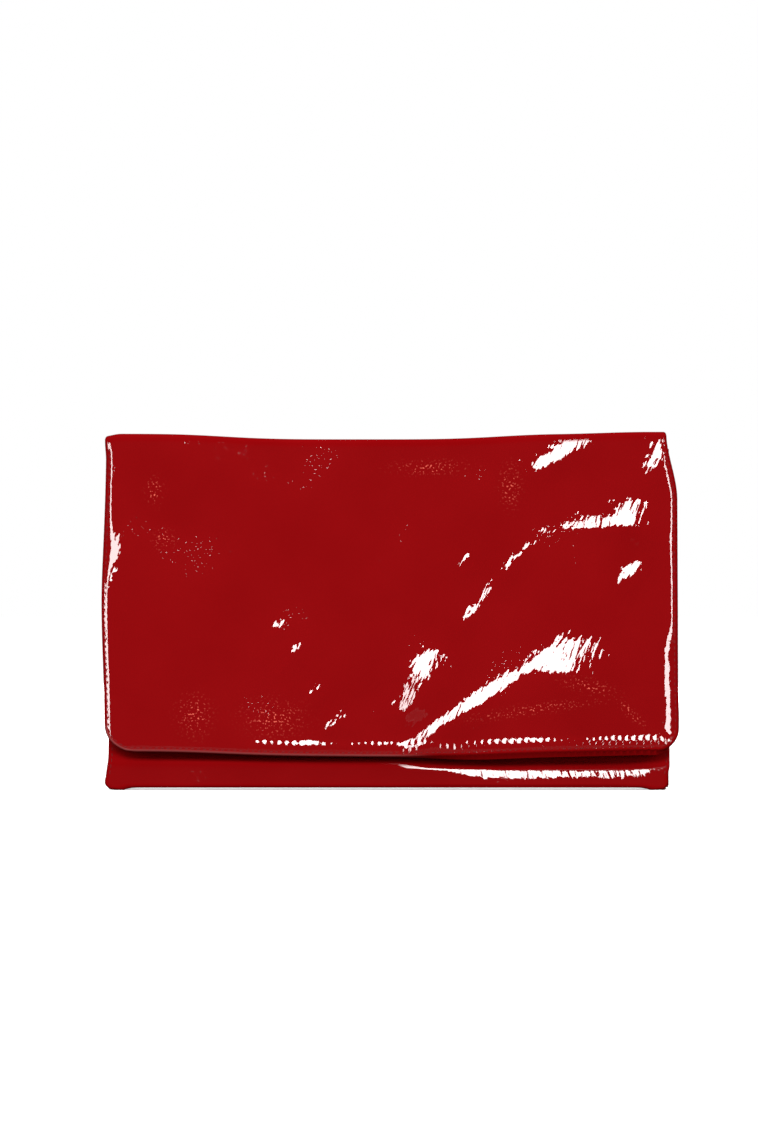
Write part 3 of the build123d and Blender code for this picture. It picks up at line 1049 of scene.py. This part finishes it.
def stitch_row(name, surface, x, s, material, pitch=2.5, length=1.75, slant=0.12):
    """Stitches along a path on a surface, each turned from it by a slant in radians."""
    path = surface(x, s, np.full_like(x, 0.12))
    beneath = surface(x, s, np.full_like(x, 1.02))
    steps = np.linalg.norm(np.diff(path, axis=0), axis=1)
    run = np.concatenate([[0], np.cumsum(steps)])
    count = int(run[-1] / pitch)
    centres = (np.arange(count) + 0.5) * run[-1] / count
    base, base_faces = stitch(length, 0.5, 0.22)
    points, faces, uv = [], [], []
    for centre in centres:
        middle = place_on(path, run, centre)
        along = place_on(path, run, centre + 0.6) - place_on(path, run, centre - 0.6)
        along = along / np.linalg.norm(along)
        up = middle - place_on(beneath, run, centre)
        up = up - along * (up @ along)
        up = up / np.linalg.norm(up)
        way = along * math.cos(slant) + np.cross(up, along) * math.sin(slant)
        across = np.cross(up, way)
        faces.extend([tuple(len(points) + k for k in f) for f in base_faces])
        points.extend((middle + base @ np.stack([way, across, up])).tolist())
        uv.extend((base[:, :2] + (centre, 0)).tolist())
    return make(name, points, faces, uv, material)


def flap_seam(inset=flap_seam_in):
    """The flap's seam: down the left side, along the hem and up the right side."""
    down = np.linspace(half_spine + 5, flap_run - 14, 120)
    z = flap_path(down)[0][:, 1]
    z_hem = flap_path(np.array([flap_run]))[0][0, 1]
    turn = np.linspace(0, math.pi / 2, 14)
    left = left_edge(z) + inset
    right = right_edge(z)[::-1] - inset
    left_turn = left_corner - inset
    right_turn = right_corner - inset
    left_x = left_edge(z_hem) + inset + left_turn * (1 - np.cos(turn))
    right_x = right_edge(z_hem) - inset - right_turn * (1 - np.sin(turn))
    across = np.linspace(left_x[-1] + 1, right_x[0] - 1, 200)
    x = np.concatenate([left, left_x, across, right_x, right])
    s = np.concatenate(
        [
            down,
            flap_run - inset - left_turn * (1 - np.sin(turn)),
            np.full_like(across, flap_run - inset),
            flap_run - inset - right_turn * (1 - np.cos(turn)),
            down[::-1],
        ]
    )
    return x, s


flap_stitches = stitch_row("flap_stitches", wrap, *flap_seam(), thread)
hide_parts("flap_thread")
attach(flap_stitches, "flap")

seam_x = np.linspace(2 - half_body, half_body - 3, 200)
seam_h = np.full_like(seam_x, front_run - front_seam_in)
mouth_stitches = stitch_row("mouth_stitches", front, seam_x, seam_h, thread)
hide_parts("mouth_thread")
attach(mouth_stitches, "front")

for side, side_name in ((-1, "left"), (1, "right")):
    h = np.linspace(4, front_run - 4, 100)
    edge = front_sides(h)[(side + 1) // 2] - side * front_seam_in
    row = stitch_row(f"{side_name}_front_stitches", front, edge, h, thread)
    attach(row, "front")
    s = np.linspace(5 - back_run, -half_spine - 6, 100)
    z = back_path(s)[0][:, 1]
    edge = back_sides(z)[(side + 1) // 2] - side * back_seam_in
    row = stitch_row(f"{side_name}_back_stitches", wrap, edge, s, thread)
    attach(row, "body")

# Snap

for names, material in (
    (("snap_socket_cup", "snap_socket_base", "snap_stud"), nickel),
    (("snap_socket_washer", "snap_stud_washer"), pressed),
    (("snap_magnet",), ferrite),
):
    for name in names:
        mesh = frame["nodes"][name].data
        mesh.materials.clear()
        mesh.materials.append(material)

# Floor, light and camera, in metres


def show(owner, seen, unseen, output):
    """Shows one shader to the camera and another to all other rays."""
    to_camera = node(owner, "ShaderNodeLightPath").outputs["Is Camera Ray"]
    mix = node(owner, "ShaderNodeMixShader", {0: to_camera, 1: unseen.outputs[0], 2: seen.outputs[0]})
    drive(owner, owner.node_tree.nodes[output], Surface=mix.outputs[0])


def studio_floor():
    """White paper to the camera, and darker to reflections."""
    half = 8.0
    mesh = bpy.data.meshes.new("floor")
    corner_places = [(-half, -half, 0), (half, -half, 0), (half, half, 0), (-half, half, 0)]
    mesh.from_pydata(corner_places, [], [(0, 1, 2, 3)])
    material, bsdf = shader("floor_paper", (0.86, 0.86, 0.86), 0.9, Specular_IOR_Level=0.1)
    place = node(material, "ShaderNodeTexCoord").outputs["Object"]
    fibre = noise(material, place, 400, 2)
    drive(material, bsdf, Base_Color=ramp(material, fibre, (0.85, 0.85, 0.85), (0.88, 0.88, 0.88)))
    bsdf.inputs["Emission Color"].default_value = (1, 1, 1, 1)
    bsdf.inputs["Emission Strength"].default_value = 0.5
    dull = node(material, "ShaderNodeBsdfDiffuse", {"Color": (0.12, 0.12, 0.12, 1)})
    show(material, bsdf, dull, "Material Output")
    mesh.materials.append(material)
    add_object("floor", mesh)


def direction(azimuth, elevation):
    """Towards a light, with azimuth 0 in front of the flap and positive to the right."""
    a, e = math.radians(azimuth), math.radians(elevation)
    return np.array([math.sin(a) * math.cos(e), -math.cos(a) * math.cos(e), math.sin(e)])


def aim(light, way):
    light.rotation_mode = "QUATERNION"
    light.rotation_quaternion = Vector(way).to_track_quat("Z", "Y")


def softbox(name, azimuth, elevation, distance, half_width, half_height, radiance):
    """A softbox of a given apparent size, as half angles in degrees."""
    data = bpy.data.lights.new(name, "AREA")
    data.shape = "RECTANGLE"
    data.size = 2 * distance * math.tan(math.radians(half_width))
    data.size_y = 2 * distance * math.tan(math.radians(half_height))
    data.energy = radiance * math.pi * data.size * data.size_y
    light = add_object(name, data)
    way = direction(azimuth, elevation)
    light.location = way * distance + np.array([0, 0, top_z / 2 * MM])
    aim(light, way)
    light.visible_camera = False


def skylight(name, azimuth, elevation, spread_deg, strength):
    """A sun with a wide disc, for soft light from above."""
    data = bpy.data.lights.new(name, "SUN")
    data.energy = strength
    data.angle = math.radians(spread_deg)
    aim(add_object(name, data), direction(azimuth, elevation))


def studio_world():
    """White behind the object, and dim where it lights or is mirrored, so that the patent stays dark."""
    world = bpy.data.worlds.new("studio")
    bpy.context.scene.world = world
    world.use_nodes = True
    white = (1, 1, 1, 1)
    bright = world.node_tree.nodes["Background"]
    bright.inputs["Color"].default_value = white
    bright.inputs["Strength"].default_value = 1.0
    dim = node(world, "ShaderNodeBackground", {"Color": white, "Strength": 0.03})
    show(world, bright, dim, "World Output")


studio_floor()
studio_world()
softbox("key_softbox", -6, 24.4, 2.2, 12, 6.6, 22)
softbox("left_softbox", -27, 11, 2.0, 4, 12, 16)
softbox("right_softbox", 28, 11, 2.0, 4, 12, 16)
softbox("rear_softbox", 180, 7, 2.2, 11, 7, 18)
softbox("rear_left_softbox", -135, 5, 2.2, 9, 7, 18)
softbox("rear_right_softbox", 135, 5, 2.2, 9, 7, 18)
skylight("overhead", 0, 90, 100, 2.0)

view_height = 1127 * 0.415  # millimetres: the view's pixels, by how much of the flap each one covers
view_x, view_z = -4.6, 94.0  # the middle of the view
camera_data = bpy.data.cameras.new("camera")
camera_distance = 2500.0
camera_data.lens = camera_data.sensor_width * camera_distance / view_height
camera_data.clip_start = 0.1
camera_data.clip_end = 60
camera = add_object("camera", camera_data)
flap_middle_y = (flap_front_y + front_fold[1]) / 2
camera.location = np.array([view_x, flap_middle_y - camera_distance, view_z]) * MM
camera.rotation_euler = (math.radians(90), 0, 0)
bpy.context.scene.camera = camera
bpy.context.scene.view_settings.view_transform = "Standard"
